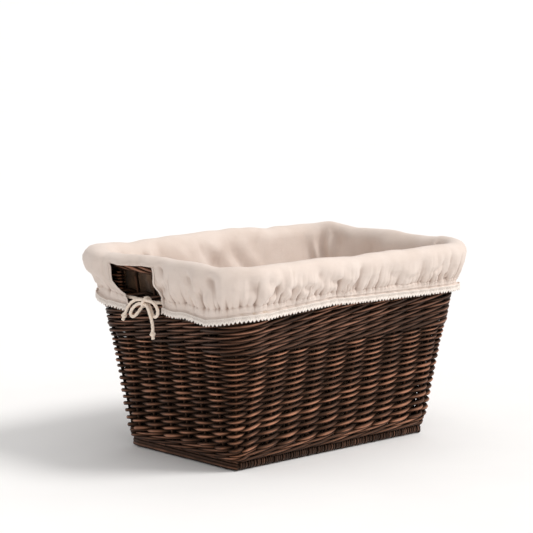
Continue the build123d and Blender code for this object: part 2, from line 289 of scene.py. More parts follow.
def cotton_material(name, base, shaded, weave_pitch=0.55 * MM):
    """Plain woven cotton. The attribute cloth holds the distances along and across the cloth."""
    n = Nodes(name)
    cloth = n.attribute("cloth", "Vector")
    where = n.add("TexCoord").outputs["Object"]
    fold = n.attribute("fold")
    wrong_side = n.attribute("wrong_side")
    bands = {"Vector": cloth, "Scale": 0.314 / weave_pitch, "Distortion": 0.6}
    warp, weft = (n.add("TexWave", bands, bands_direction=way).outputs["Fac"] for way in "XY")
    threads = n.maths("MULTIPLY", warp, weft)
    slub = n.noise(n.stretch(cloth, 120, 1500, 1), 1.0, 3.0)
    cloud = n.noise(where, 22.0, 4.0, 0.55)
    colour = n.ramp(cloud, (0.30, shaded), (0.70, base))
    colour = n.mix(n.ramp(slub, (0.56, 0), (0.75, 0.10)), colour, (0.42, 0.33, 0.25, 1))
    # painted shade: the gaps between the threads are a little darker
    colour = n.mix(n.ramp(threads, (0.0, 0.10), (0.5, 0)), colour, (*shaded, 1))
    # painted shade: the fold attribute darkens the valleys of folds and the seam lines
    colour = n.mix(n.ramp(fold, (0.15, 0), (1.0, 0.75)), colour, (0.40, 0.29, 0.235, 1))
    # painted shade: the wrong side, seen behind the hand holes, is dark brown
    painted_hole_shade = n.mix(n.ramp(n.noise(where, 60.0), (0.35, 0.2), (0.65, 0.9)),
                    (0.19, 0.105, 0.055, 1), (0.07, 0.036, 0.018, 1))
    colour = n.mix(wrong_side, colour, painted_hole_shade)
    normal = n.bump(threads, 0.10 * MM, 0.5, n.bump(n.noise(where, 55.0, 4.0, 0.6), 1.6 * MM, 0.35))
    return n.finish(Base_Color=colour, Roughness=0.88, Normal=normal, Sheen_Weight=0.2, Sheen_Roughness=0.5)


def thread_material(name, base, shaded):
    """Soft cotton thread, for lace and cord."""
    n = Nodes(name)
    grain = n.attribute("grain", "Vector")
    tone = n.attribute("tone")
    fibre = n.noise(n.stretch(grain, 500, 2600, 2600), 1.0, 4.0, 0.65)
    colour = n.ramp(fibre, (0.30, shaded), (0.60, base))
    colour = n.mix(n.ramp(tone, (0.20, 0.9), (0.48, 0)), colour, (*[0.80 * v for v in shaded], 1))
    normal = n.bump(fibre, 0.22 * MM, 0.7)
    return n.finish(Base_Color=colour, Roughness=0.85, Normal=normal, Sheen_Weight=0.25, Sheen_Roughness=0.5)


WILLOW = willow_material("willow", (0.010, 0.0038, 0.0019), (0.084, 0.0330, 0.0160), (0.60, 0.275, 0.165))
# A darker copy of the willow: painted shade for the rods that sit in shade, the upper wale under the skirt,
# the border under the roll, and the base
SHADED_WILLOW = willow_material("willow_shaded", (0.009, 0.0037, 0.0020), (0.058, 0.0240, 0.0130), (0.56, 0.265, 0.170))
COTTON = cotton_material("cotton", (0.79, 0.685, 0.62), (0.71, 0.60, 0.53))
LACE = thread_material("lace_thread", (0.95, 0.88, 0.82), (0.82, 0.73, 0.66))
CORD = thread_material("cord_thread", (0.95, 0.82, 0.70), (0.80, 0.65, 0.52))


# ---- Places round the wall ----------------------------------------------------------------------
def stake_places():
    """(x, y, direction out in degrees) of each stake's anchor, anticlockwise from the front left."""
    long_side, end = np.linspace(-0.18, 0.18, 10), np.linspace(-0.0925, 0.0925, 6)
    return (
        [(x, -CORE_Y, -90) for x in long_side] + [(CORE_X, -CORE_Y, -45)]
        + [(CORE_X, y, 0) for y in end] + [(CORE_X, CORE_Y, 45)]
        + [(-x, CORE_Y, 90) for x in long_side] + [(-CORE_X, CORE_Y, 135)]
        + [(-CORE_X, -y, 180) for y in end] + [(-CORE_X, -CORE_Y, 225)]
    )


STAKES = stake_places()
COUNT = len(STAKES)
CORNERS = (10, 17, 28, 35)  # the corner stakes, as places
FRONT_HOLE, BACK_HOLE = (-2, 11), (16, 29)  # the outer stakes of the hand holes, as places
SWELL_HEIGHTS = (0.03, 0.14, 0.18, 0.220, 0.236, 0.27)
SWELLS = (0, 2.2, 5.0, 5.4, 2.5, 0)  # in mm, at these heights
SPACES = []
for here, there in zip(STAKES, STAKES[1:] + STAKES[:1]):
    turn = 0 if here[2] == there[2] else math.pi / 4
    SPACES.append([*here[:2], *there[:2], math.radians(here[2]), turn, here[2] % 90 != 0])
SPACES = np.array(SPACES, float)


def spot(u, rho):
    """Points at distance rho from the core, at places u, where stake k has the place k."""
    u = np.asarray(u, float)
    x0, y0, x1, y1, angle, turn, turn_first = SPACES[np.floor(u).astype(int) % COUNT].T
    flat, arc = np.hypot(x1 - x0, y1 - y0), rho * turn
    gone = (u - np.floor(u)) * (flat + arc)
    turned = np.where(turn_first > 0, np.minimum(gone, arc), np.maximum(gone - flat, 0))
    moved = np.where(turn_first > 0, np.maximum(gone - arc, 0), np.minimum(gone, flat))
    angle = angle + turned / rho
    share = moved / np.maximum(flat, 1e-9)
    out = np.stack([np.cos(angle), np.sin(angle), 0 * angle], -1)
    place = np.stack([x0 + (x1 - x0) * share, y0 + (y1 - y0) * share, 0 * angle], -1)
    return place + out * rho[..., None], out


def corner_swell(u, z):
    """How far the weave swells out at the four corners."""
    half = COUNT // 2
    near = sum(np.exp(-((((u - corner + half) % COUNT) - half) / 0.8) ** 2) for corner in CORNERS)
    return near * np.interp(z, SWELL_HEIGHTS, SWELLS) * MM


def on_wall(u, off, z):
    """Points at height z and distance off from the middle of the wall, and the directions out."""
    points, out = spot(u, BASE_RHO + LEAN * z - HALF_WALL + off + corner_swell(u, z))
    points[:, 2] = z
    return points, out


rng = np.random.default_rng(7)


def wall_rod(rods, u, off, z, radius, seed, sides=6, tone=None, rough=1.0, reach=4.5 * MM):
    """Adds one rod that runs along the wall at places u, a little uneven as willow is."""
    u, off, z = np.broadcast_arrays(np.asarray(u, float), off, z)
    z = z + rough * 0.85 * MM * value_noise(u * 0.9 + seed * 3.1, seed)
    off = off + rough * 0.45 * MM * value_noise(u * 1.3 + seed * 1.7, seed + 500)
    radius = radius * (1 + 0.13 * value_noise(u * 1.1 + seed, seed + 900))
    line, out = on_wall(u, off, z)
    rods.add(line, out, radius, rng.uniform(0, 1) if tone is None else tone, sides, off=off, reach=reach)


# ---- Willow -------------------------------------------------------------------------------------
def make_siding():
    """The siding, a French randing of one rod to each stake, in front of one and behind the next."""
    rods = Rods()
    layers, rise, ease = 16, 11.3 * MM, 0.1398 * MM
    step = np.linspace(-0.5, 2 * layers - 0.5, 32 * 8 + 1)  # places that the rod has passed
    for k in range(COUNT):
        layer = step / 2 + 0.25
        z = WALE_TOP + rise * layer - ease * layer**2
        pitch = rise - 2 * ease * layer
        radius = 0.29 * pitch
        swing = STAKE_R + 0.95 * radius
        wall_rod(rods, k + step, swing * np.cos(math.pi * step), z, radius, k, reach=swing)
    add_piece(rods.make("siding_weave", WILLOW), "willow", "siding")


def wale_round(rods, z, pitch, radius, first, sides, seed, swing):
    """One round of a three-rod wale: each rod goes in front of two stakes and behind one."""
    for r in range(3):
        step = np.linspace(-0.5, COUNT - 0.5, COUNT * 7 + 1)
        phase = (step + 0.5) % 3 - 0.5
        in_front = phase < 1.5
        out_in = np.where(in_front, np.maximum(np.sin(math.pi * (phase + 0.5) / 2), 0) ** 0.7,
                          -np.abs(np.sin(math.pi * (phase - 1.5))))
        climb = np.where(in_front, phase - 0.5, 1 - 2 * (phase - 1.5)) * 0.60 * pitch
        wall_rod(rods, first + r + step, swing * out_in, z + climb, radius, seed * 5 + r, sides,
                 reach=1.3 * swing)


def make_wales():
    """The two rounds of the bottom wale, and the seven of the upper one."""
    low = Rods()
    for i in range(2):
        wale_round(low, BASE_TOP + (i + 0.5) * 7 * MM, 7 * MM, 2.35 * MM, i, 6, 40 + i, 5.0 * MM)
    add_piece(low.make("bottom_wale_weave", WILLOW), "willow", "bottom_wale")
    high = Rods()
    rounds = 7
    pitch = (UPPER_TOP - SIDING_TOP) / rounds
    for i in range(rounds):
        z = SIDING_TOP + (i + 0.5) * pitch
        swing = (5.6 if z < 0.222 else 4.0) * MM  # tighter where the cloth covers it
        wale_round(high, z, pitch, 2.65 * MM, 20 + i, 6, 60 + i, swing)
    add_piece(high.make("upper_wale_weave", SHADED_WILLOW), "willow", "upper_wale")


def make_bands():
    """Rods that go to and fro on each long side, round the outer stakes of the two hand holes."""
    for name, (start, end) in (("rim_band_front", FRONT_HOLE), ("rim_band_back", BACK_HOLE)):
        rods = Rods()
        rows = 6
        pitch = (BAND_TOP - UPPER_TOP) / rows
        swing = 4.4 * MM
        for i in range(rows):
            u = np.linspace(start, end, (end - start) * 8 + 1)
            sign = 1 if i % 2 else -1
            z = UPPER_TOP + (i + 0.5) * pitch
            wall_rod(rods, u, sign * swing * np.cos(math.pi * (u - start)), z, 2.3 * MM, 90 + i, rough=0.5)
            for place, side in ((start, -1), (end, 1)):
                t = np.linspace(-0.1, 1.1, 9) * math.pi
                turn_u = place + side * np.sin(t) * 0.13
                off = sign * swing * np.cos(t) * side
                wall_rod(rods, turn_u, off, z + 0 * t, 2.3 * MM, 120 + i, rough=0.0)
        add_piece(rods.make(name + "_weave", WILLOW), "willow", name)


def make_border():
    """Each stake is turned down to the right, over its neighbours and in behind the third."""
    rods = Rods()
    # The rod's route as (places passed, distance off the wall's middle, height), in mm.
    steps = ((0, 0, 268), (0.05, 0.5, 277), (0.2, 1.5, 284), (0.6, 3.0, 286.5), (1.2, 4.4, 285.2),
             (1.9, 5.6, 281.2), (2.5, 5.0, 277.6), (2.85, 1.0, 275.6), (3.15, -1.8, 275), (3.6, -2.6, 275.4))
    t = np.linspace(0, 3.6, 46)
    place, off, z = np.array(steps).T
    for k in range(COUNT):
        offs, zs = np.interp(t, place, off) * MM, np.interp(t, place, z) * MM
        for _ in range(2):
            offs[1:-1] = (offs[:-2] + 2 * offs[1:-1] + offs[2:]) / 4
            zs[1:-1] = (zs[:-2] + 2 * zs[1:-1] + zs[2:]) / 4
        wall_rod(rods, k + t, offs, zs, (3.3 - 0.25 * t) * MM, 200 + k, 7)
    add_piece(rods.make("border_weave", SHADED_WILLOW), "willow", "border")


def make_stakes():
    """The upright stakes, in the five groups that the CAD has."""
    groups = {"front_stakes": range(0, 10), "right_end_stakes": range(11, 17), "back_stakes": range(18, 28),
              "left_end_stakes": range(29, 35), "corner_stakes": CORNERS}
    for name, places in groups.items():
        rods = Rods()
        for k in places:
            z = np.linspace(STAKE_FOOT, 0.2685, 40)
            u = k + 0.006 * value_noise(z * 30 + k, k + 300)
            line, out = on_wall(u, 0 * z, z)
            thick = STAKE_R * (1.02 - 0.6 * (z - STAKE_FOOT))
            # off is zero, so the crown stays low and the willow paints the stakes darker, as shade behind the
            # rods
            rods.add(line, out, thick, rng.uniform(0.3, 0.9), 8, off=0 * z, reach=1.0)
        add_piece(rods.make(name + "_rods", WILLOW), "willow", name)


def make_base():
    """Sticks along the base, rods across its ends, and strands woven over and under the sticks."""
    half_x, stick_z, side_y = 0.1895, BASE_TOP / 2, 0.108
    sticks = Rods()
    x = np.linspace(-half_x, half_x, 30)
    for y in (-0.072, -0.036, 0.0, 0.036, 0.072):
        line = np.stack([x, y + 0 * x, stick_z + 0 * x], -1)
        sticks.add(line, (0, 0, 1), 4.4 * MM, rng.uniform(0.3, 0.8), 10)
    add_piece(sticks.make("base_stick_rods", WILLOW), "willow", "base_sticks")
    sides = Rods()
    for y in (-side_y, side_y):
        sides.add(np.stack([x, y + 0 * x, stick_z + 0 * x], -1), (0, 0, 1), 5.9 * MM, 0.4, 12)
    add_piece(sides.make("base_side_rod_pair", WILLOW), "willow", "base_side_rods")
    ends = Rods()
    for s in (-1, 1):
        for z, far, r in ((4.0, 193.4, 3.5), (8.7, 194.0, 2.9), (12.9, 193.6, 2.5), (6.2, 190.4, 3.0)):
            y = np.linspace(-0.1135, 0.1135, 60)
            wave = 0.5 * MM * value_noise(y * 25 + z, int(z * 10) + 7 * s)
            edge = smooth((np.abs(y) - 0.098) / 0.016) * 2.2 * MM
            line = np.stack([s * (far * MM + wave - edge), y, z * MM + 0.7 * wave], -1)
            ends.add(line, (s, 0, 0), r * MM * (1 - 0.12 * y / 0.1135 * s), rng.uniform(-0.9, 0.0), 10)
    add_piece(ends.make("base_end_rod_set", SHADED_WILLOW), "willow", "base_end_rods")
    make_base_weave(half_x, stick_z, side_y)


def make_base_weave(half_x, stick_z, side_y):
    """Strands across the base, round the two side rods, and over and under the inner sticks by turns."""
    weave = Rods()
    strand, lift, apart = 1.1 * MM, 6.35 * MM, 0.036
    wrap = np.linspace(0, 1.35 * math.pi, 12)
    across = np.linspace(-0.0985, 0.0985, 45)
    x, i = -half_x + 1.5 * MM, 0
    while x < half_x - 1 * MM:
        wide = rng.uniform(1.4, 2.3) * MM
        sign = 1 if i % 2 else -1
        over = sign * (4.4 * MM + strand) * np.cos(math.pi * across / apart)
        over = over * smooth((0.0985 - np.abs(across)) / 0.010)
        round_z = stick_z - sign * lift * np.cos(wrap)
        front = np.stack([-side_y - lift * np.sin(wrap), round_z], -1)[::-1]
        back = np.stack([side_y + lift * np.sin(wrap), round_z], -1)
        middle = np.stack([across, stick_z + over], -1)
        y, z = np.concatenate([front, middle, back]).T
        lean = rng.uniform(-0.8, 0.8) * MM
        line = np.stack([x + wide + lean * y / 0.11, y, z], -1)
        out = np.cross(unit(np.gradient(line, axis=0)), np.array([1.0, 0, 0]))
        weave.add(line, out, strand, rng.uniform(-0.9, 0.1), 8, wide / strand)
        x += 2 * wide + (1.7 if i % 4 == 3 else 0.1) * MM  # a gap after every fourth strand
        i += 1
    add_piece(weave.make("base_weave_strands", SHADED_WILLOW), "willow", "base_weave")


# ---- Cotton: one cloth from the foot of the inside, over the rim, down to the hem ------------------
# The hem's height in mm, at places counted from the stake at the left end of the front.
HEM_PLACES = (-4.2, -3.74, -2.88, -1.7, -1.2, -0.9, -0.45, 0.3, 1.55, 3.1, 4.08, 6.1, 8.75, 9.6, 10.2, 10.6,
              10.9, 11.8, 13.0)
HEM_HEIGHTS = (218.6, 216.6, 218.4, 213.8, 213.2, 216.5, 222.0, 225.6, 228.0, 231.0, 229.0, 227.2, 225.4,
               224.9, 222.5, 217.0, 214.2, 219.3, 219.4)
SLIT_FRONT = ((210, -14.0), (236, -12.0), (255, -8.0), (284, -4.0), (286, -4.0))
SLIT_BACK = ((210, 61.0), (237, 61.5), (243, 65.5), (260, 85.5), (284, 89.5), (286, 89.5))
SLIT_YS = (-4, 94)  # the front and back edges of a slit at its top, in mm
SLIT_TOP = 0.2845
SEAM_Z, HEM_SEAM_Z, LACE_LOW = 0.2425, 0.2315, 0.218
INSIDE_ROWS, CREST_ROW = 34, 40  # rows of the bag's wall, and the row on the roll's crest
WRONG_SIDE_ROWS = slice(1, 36)
# Larger folds near two corners: place, height, lean to the right, length, width and depth, in mm.
FRONT_FOLDS = ((34.6, 264, 0.25, 36, 5, 3.5), (36.0, 262, 0.45, 42, 4.5, 5.5), (36.6, 270, -0.9, 34, 8, -3.0),
               (37.5, 262, -0.9, 28, 6, 3.2), (38.8, 270, -0.8, 30, 7, 2.8))
BACK_FOLDS = ((45.4, 268, -0.4, 64, 6, 6.5), (44.1, 272, 0.5, 52, 5, 6.0), (44.75, 264, 0.1, 56, 9, -5.5))
# The two corners away from the bows: x, y, how far the roll stands out and the hem flares, in mm.
STANDING_CORNERS = ((-0.240, 0.160, 13, 6.5), (0.240, -0.160, 2.5, 6))


def cloth_columns():
    """Columns of the cloth, anticlockwise.

    Each is its shares of the core's x and y, direction out, half, place, and y at an end or None.
    """
    columns = []
    front_left = np.concatenate([np.linspace(105.5, 94, 22)[:-1], np.linspace(94, -4, 60)[:-1],
                                 np.linspace(-4, -105.5, 84)[:-1]])
    front = np.linspace(-186.5, 186.5, 300)[:-1]
    arc = np.linspace(0, 90, 76)[:-1]
    for s in (1, -1):  # s is 1 for the left end, corner and front, and -1 for the rest
        turn = 0 if s == 1 else 180
        for y in front_left:
            columns.append((-s, s * y / 105.5, 180 + turn, s, 31 - (y - 18.5) / 37, y))
        for a in arc:
            columns.append((-s, -s, 180 + turn + a, s, 34.78 + 1.38 * a / 90, None))
        for x in front:
            columns.append((s * x / 186.5, -s, 270 + turn, s, 36 + (x + 180) / 40, None))
        for a in arc:
            columns.append((s, -s, 270 + turn + a, s, 45.16 + 1.62 * a / 90, None))
    return columns


def pleats(run, length, low, high, seed):
    """Rounded bulges of random width along run: the bulge from 0 to 1, and a random number for each."""
    r = np.random.default_rng(seed)
    edges = [0.0]
    while edges[-1] < length - high:
        edges.append(edges[-1] + r.uniform(low, high))
    edges[-1] = length
    edges = np.array(edges)
    i = np.clip(np.searchsorted(edges, run, side="right") - 1, 0, len(edges) - 2)
    t = (run - edges[i]) / (edges[i + 1] - edges[i])
    return np.sin(math.pi * t), r.uniform(0, 1, len(edges))[i]


def creases(run, down, length, count, band, lengths, widths, depths, lean, seed, placed=()):
    """Sharp valleys with soft shoulders at random places, each of them mostly down the cloth.

    Placed ones follow: each is (run, down, angle, half length, width, depth).
    """
    r = np.random.default_rng(seed)
    total = np.zeros((len(down), len(run)))
    found = [(r.uniform(0, length), r.uniform(*band), r.normal(0, lean), r.uniform(*lengths) / 2,
              r.uniform(*widths), r.uniform(*depths)) for _ in range(count)]
    for at, low, angle, half, wide, deep in found + list(placed):
        across = (run[None] - at + length / 2) % length - length / 2
        a = across * math.cos(angle) - (down[:, None] - low) * math.sin(angle)
        b = across * math.sin(angle) + (down[:, None] - low) * math.cos(angle)
        a = a + 0.2 * b * b / half
        shoulders = 0.5 * np.exp(-((np.abs(a) - 2.3 * wide) / (1.2 * wide)) ** 2)
        valley = -np.exp(-np.abs(a / wide) ** 1.6) + shoulders
        total += deep * valley * smooth((half - np.abs(b)) / (0.75 * half))
    return total


def section():
    """The cloth in section as (distance from the core, height, corner radius at least), in mm."""
    inside = [(LEAN * z - 3.0, z, 16.0) for z in np.linspace(17.5, 262, INSIDE_ROWS)]
    inside[0] = (-4.0, 17.3, 16.0)
    roll = [(42.9, 272), (43.6, 281), (44.6, 287), (47.2, 293), (51.0, 297.6), (55.6, 300.2), (60.5, 301),
            (65.2, 300), (69.2, 297.6), (72.2, 294), (74, 289.6), (74.7, 285), (74.6, 281), (74.2, 276)]
    skirt_z = np.concatenate([np.linspace(272, 247, 18), np.linspace(245.7, 218 + 8.4, 20)])
    known_z = (226, 231, 236, 243.5, 254, 270, 276)
    known_r = (62.4, 60.6, 60.6, 63.0, 68.6, 73.5, 74.2)
    skirt = [(r, z) for r, z in zip(np.interp(skirt_z, known_z, known_r), skirt_z)]
    return inside + [(r, z, 16.0) for r, z in roll + skirt]


def placed_folds(folds, chosen, place, run, heights, down, way):
    """Folds at given places and heights, in the terms of creases. way is 1 if the cloth runs up, else -1."""
    return [(np.interp(at, place[chosen], run[chosen]), np.interp(way * z * MM, way * heights * MM, down),
             way * lean, long / 2 * MM, wide * MM, deep * MM) for at, z, lean, long, wide, deep in folds]


def hem_heights(place):
    """The hem's height in mm at each place: the left end and the front, and the same turned half round."""
    hem = np.interp(np.where(place >= 48.2, place - 54, place - 36), HEM_PLACES, HEM_HEIGHTS)
    back_part = (place < 31.9) & (place >= 28)
    return np.where(back_part, np.interp(place - 18, HEM_PLACES, HEM_HEIGHTS), hem)


def ring_faces(closed):
    """Faces of the closed cells of a grid whose columns go all the way round."""
    n_col = closed.shape[1]
    i, j = np.nonzero(closed)
    k = (j + 1) % n_col
    return np.stack([i * n_col + j, (i + 1) * n_col + j, (i + 1) * n_col + k, i * n_col + k], -1)


class Cloth:
    """The liner as a grid: its rows go down the cloth, and its columns go round the basket."""

    def __init__(self):
        ax, ay, angle, side, place, slit_y = zip(*cloth_columns())
        self.rows = np.array(section())
        self.angle = np.radians(np.array(angle, float))
        self.side, self.place = np.array(side, float), np.array(place, float)
        self.at_end = np.array([v is not None for v in slit_y])
        self.edge_y = np.array([v if v is not None else 0 for v in slit_y])
        self.out = np.stack([np.cos(self.angle), np.sin(self.angle), 0 * self.angle], -1)
        self.outside = smooth((np.arange(len(self.rows)) - CREST_ROW) / 6)[:, None]
        rho, z, least = (self.rows[:, i] * MM for i in range(3))
        radius = np.maximum(rho, least)
        self.z = np.repeat(z[:, None], len(self.place), 1)
        x = (CORE_X + rho - radius)[:, None] * np.array(ax, float)[None]
        y = (CORE_Y + rho - radius)[:, None] * np.array(ay, float)[None]
        self.lean_slits(y)
        self.points = np.stack([x, y, self.z], -1) + self.out[None] * radius[:, None, None]
        self.points[..., 2] = self.z
        ring = self.points[-1]
        self.run = distances(ring)
        self.length = self.run[-1] + np.linalg.norm(ring[0] - ring[-1])
        self.down = np.concatenate([[0], np.cumsum(np.hypot(np.diff(rho), np.diff(z)))])
        self.skirt = self.outside * smooth((0.292 - self.z) / 0.012)
        first_y, last_y = SLIT_YS
        self.gap = self.at_end & (self.edge_y < last_y + 1e-6) & (self.edge_y > first_y + 1e-6)

    def lean_slits(self, y):
        """The two edges of each slit lean, and the cloth beside them follows."""
        core, at_end = CORE_Y / MM, self.at_end
        for i, height in enumerate(self.z[:, 0] / MM):
            if self.outside[i, 0] > 0:
                edges = [np.interp(height, *zip(*edge)) for edge in (SLIT_FRONT, SLIT_BACK)]
                moved = np.interp(self.edge_y, (-core, *SLIT_YS, core), (-core, *edges, core))
                y[i, at_end] = self.side[at_end] * moved[at_end] * MM

    def standing_corners(self):
        """How near the cloth is to each corner that stands out, how far it stands, and how far it flares."""
        for x, y, stands, flares in STANDING_CORNERS:
            far = np.hypot(self.points[..., 0] - x, self.points[..., 1] - y)
            yield np.exp(-(far / 0.055) ** 2) * self.outside, stands, flares

    def new_heights(self):
        """Heights with the hem's rise and fall, the slits' slanting top edges and the uneven crest."""
        z, outside, edge_y = self.z, self.outside, self.edge_y
        shift = (hem_heights(self.place) * MM - LACE_LOW)[None]
        share = smooth((0.278 - z) / 0.052) * outside
        z_new = z + shift * share
        beside = smooth((edge_y + 34) / 22) * smooth((112 - edge_y) / 14) * self.at_end
        lift = (3.6 + 4.2 * smooth((80 - edge_y) / 80)) * MM * beside
        z_new = z_new + lift[None] * np.exp(-((z - 0.281) / (11 * MM)) ** 2) * outside
        for near, stands, _ in self.standing_corners():
            z_new = z_new + near * 0.25 * stands * MM * smooth((z - 0.270) / 0.025)
        crest = value_noise(self.run / self.length * 26, 61, 26)
        crest = crest + 0.5 * value_noise(self.run / self.length * 61, 62, 61)
        far = np.hypot(self.points[..., 0] + 0.240, self.points[..., 1] - 0.085)
        crest = 2.5 * MM * crest[None] - 4.5 * MM * np.exp(-(far / 0.036) ** 2)
        return z_new + crest * smooth((z - 0.284) / 0.016)

    def gathers(self):
        """Wide pleats above the casing, close gathers at it, and the waves of the hem."""
        z, run, length = self.z, self.run, self.length
        wide_bulge, wide_pick = pleats(run, length, 0.030, 0.075, 21)
        mid_bulge, mid_pick = pleats(run, length, 0.014, 0.028, 22)
        fine_bulge, fine_pick = pleats(run, length, 0.0060, 0.0125, 23)
        above, below = np.maximum(z - SEAM_Z, 0), np.maximum(SEAM_Z - z, 0)
        reach_wide = smooth((z - 0.232) / 0.014) * smooth((0.290 - z) / 0.030)
        reach_mid = np.exp(-above / (0.008 + 0.022 * mid_pick[None])) * np.exp(-below / 0.005)
        reach_fine = np.exp(-above / (0.004 + 0.013 * fine_pick[None])) * np.exp(-below / 0.004)
        strong = 0.45 + 0.75 * smooth(0.5 + 0.8 * value_noise(run / length * 19, 24, 19))[None]
        wide = reach_wide * (5.0 * MM * (wide_bulge * (0.3 + 0.7 * wide_pick) - 0.55))[None]
        close = reach_mid * 4.6 * MM * (mid_bulge - 0.6)[None]
        close = close + reach_fine * 5.6 * MM * (fine_bulge - 0.55)[None]
        hem = 1.8 * MM * (mid_bulge - 0.6)[None] * smooth((0.236 - z) / 0.008)
        return wide, close * strong, hem

    def outer_folds(self):
        """How far the folds move the roll and the skirt out, and how deep their valleys are, from 0 to 1,
        which the cotton paints as shade.
        """
        z, run, down, length = self.z, self.run, self.down, self.length
        outside, skirt = self.outside, self.skirt
        turns = run[None] / length
        wave = value_noise_2d(turns * 22, down[:, None] / 0.055, 11, 22)
        ripple = value_noise_2d(turns * 60 + down[:, None] * 6, down[:, None] / 0.035, 12, 60)
        wide, gather, hem = self.gathers()
        dents = creases(run, down, length, 80, (0.322, 0.362), (20 * MM, 50 * MM), (2.4 * MM, 5 * MM),
                        (0.8 * MM, 2.2 * MM), 0.6, 51)
        dents += creases(run, down, length, 40, (0.285, 0.325), (15 * MM, 45 * MM), (3.5 * MM, 7 * MM),
                         (0.6 * MM, 1.8 * MM), 0.8, 52)
        on_front = (self.side > 0) & (self.place >= 34)
        below_crest = self.rows[CREST_ROW + 1:, 1]
        placed = placed_folds(FRONT_FOLDS, on_front, self.place, run, below_crest, down[CREST_ROW + 1:], -1)
        broad = creases(run, down, length, 44, (0.325, 0.360), (45 * MM, 85 * MM), (5 * MM, 9 * MM),
                        (2.2 * MM, 4.6 * MM), 0.75, 54, placed)
        seam = np.exp(-((z - SEAM_Z) / (1.5 * MM)) ** 2) + 0.7 * np.exp(-((z - HEM_SEAM_Z) / (1.3 * MM)) ** 2)
        casing = smooth((z - 0.230) / 0.003) * smooth((0.2435 - z) / 0.003)
        move = outside * (1.5 * MM * wave + 0.35 * MM * ripple)
        move = move + skirt * wide
        move = move + skirt * (gather + hem) + outside * (dents + broad) * smooth((z - 0.224) / 0.010)
        move = move + skirt * (1.2 * MM * casing - 1.3 * MM * seam)
        for near, stands, flares in self.standing_corners():
            stand = stands * np.clip((z - 0.234) / 0.050, 0, 1)
            move = move + near * MM * (stand + flares * smooth((0.236 - z) / 0.012))
        # painted shade: valleys of the gathers and creases, and the seam lines, for the cotton's fold
        # attribute
        valley = skirt * np.clip(-(gather + 0.3 * dents + 0.3 * broad) / (2.0 * MM), 0, 1)
        return move, valley + 0.25 * skirt * np.minimum(seam, 1)

    def inner_folds(self):
        """The bag hangs a little loose inside, with upright and slanting folds near the top."""
        z, run, down, length = self.z, self.run, self.down, self.length
        inner = 1 - self.outside
        wave = value_noise_2d(run[None] / length * 18 + z * 3, z / 0.07, 31, 18)
        fold = value_noise_2d(run[None] / length * 44 - z * 22, z / 0.10, 32, 44)
        slack = smooth((z - 0.02) / 0.05) * smooth((0.302 - z) / 0.03)
        corner = np.abs(np.sin(2 * self.angle))[None]
        folds = 6.0 * MM * smooth(wave) + (4.0 * MM + 6.0 * MM * corner) * np.maximum(fold, 0) ** 1.5
        on_back = (self.side < 0) & (self.place >= 34)
        heights = self.rows[:INSIDE_ROWS, 1]
        placed = placed_folds(BACK_FOLDS, on_back, self.place, run, heights, down[:INSIDE_ROWS], 1)
        tucks = creases(run, down, length, 44, (0.12, 0.29), (60 * MM, 140 * MM), (7 * MM, 13 * MM),
                        (2.5 * MM, 6.0 * MM), 0.5, 53, placed)
        folds = np.maximum(folds + 2.2 * MM + tucks, 0)
        # the second value is painted shade in the valleys of the tucks
        return inner * slack * folds, inner * 0.3 * np.clip(-tucks / (4 * MM), 0, 1)

    def shape(self):
        """Moves the points to their places, and returns the directions out of the cloth and the valleys."""
        outer, outer_valley = self.outer_folds()
        inner, inner_valley = self.inner_folds()
        points = self.points
        z_new = self.new_heights()
        normal = unit(np.cross(np.roll(points, -1, 1) - np.roll(points, 1, 1), np.gradient(points, axis=0)))
        normal = np.sign(np.median((normal[-20] * self.out).sum(-1))) * normal
        self.points = points + normal * (outer + inner)[..., None]
        self.points[..., 2] += z_new - self.z
        return normal, np.clip(outer_valley + inner_valley, 0, 1)


def cotton_piece(name, points, faces, cloth, fold, wrong_side, *nodes):
    """One cotton surface with the three attributes that its material reads."""
    piece = new_object(name, points.reshape(-1, 3), faces.tolist(), COTTON)
    point_attribute(piece, "wrong_side", np.full(len(piece.data.vertices), float(wrong_side)))
    point_attribute(piece, "cloth", cloth.reshape(-1, 3))
    point_attribute(piece, "fold", fold.ravel())
    return add_piece(piece, "cotton", *nodes)


def make_liner():
    """The liner's right side, and behind it the wrong side of the bag's wall, painted dark brown as the shade
    seen behind the hand holes.
    """
    cloth = Cloth()
    normal, valley = cloth.shape()
    run, down = np.meshgrid(cloth.run, cloth.down)
    along = np.stack([run, down, 0 * run], -1)
    cut = (cloth.outside[:-1, 0] > 0.5) & (cloth.rows[:-1, 1] * MM <= SLIT_TOP + 1e-4)
    faces = ring_faces(~(cut[:, None] & cloth.gap[None]))
    liner = cotton_piece("cotton_liner", cloth.points, faces, along, valley, 0,
                         "liner_wall", "skirt_front", "skirt_back")
    # this layer is painted dark brown by the cotton material, as the shade behind the hand holes
    behind = (cloth.points - normal * 0.8 * MM)[WRONG_SIDE_ROWS]
    faces = ring_faces(np.ones((len(behind) - 1, behind.shape[1]), bool))[:, [0, 3, 2, 1]]
    wrong_side = cotton_piece("liner_wrong_side", behind, faces, along[WRONG_SIDE_ROWS],
                              np.zeros(behind.shape[:2]), 1, "liner_wall")
    return liner, wrong_side, cloth


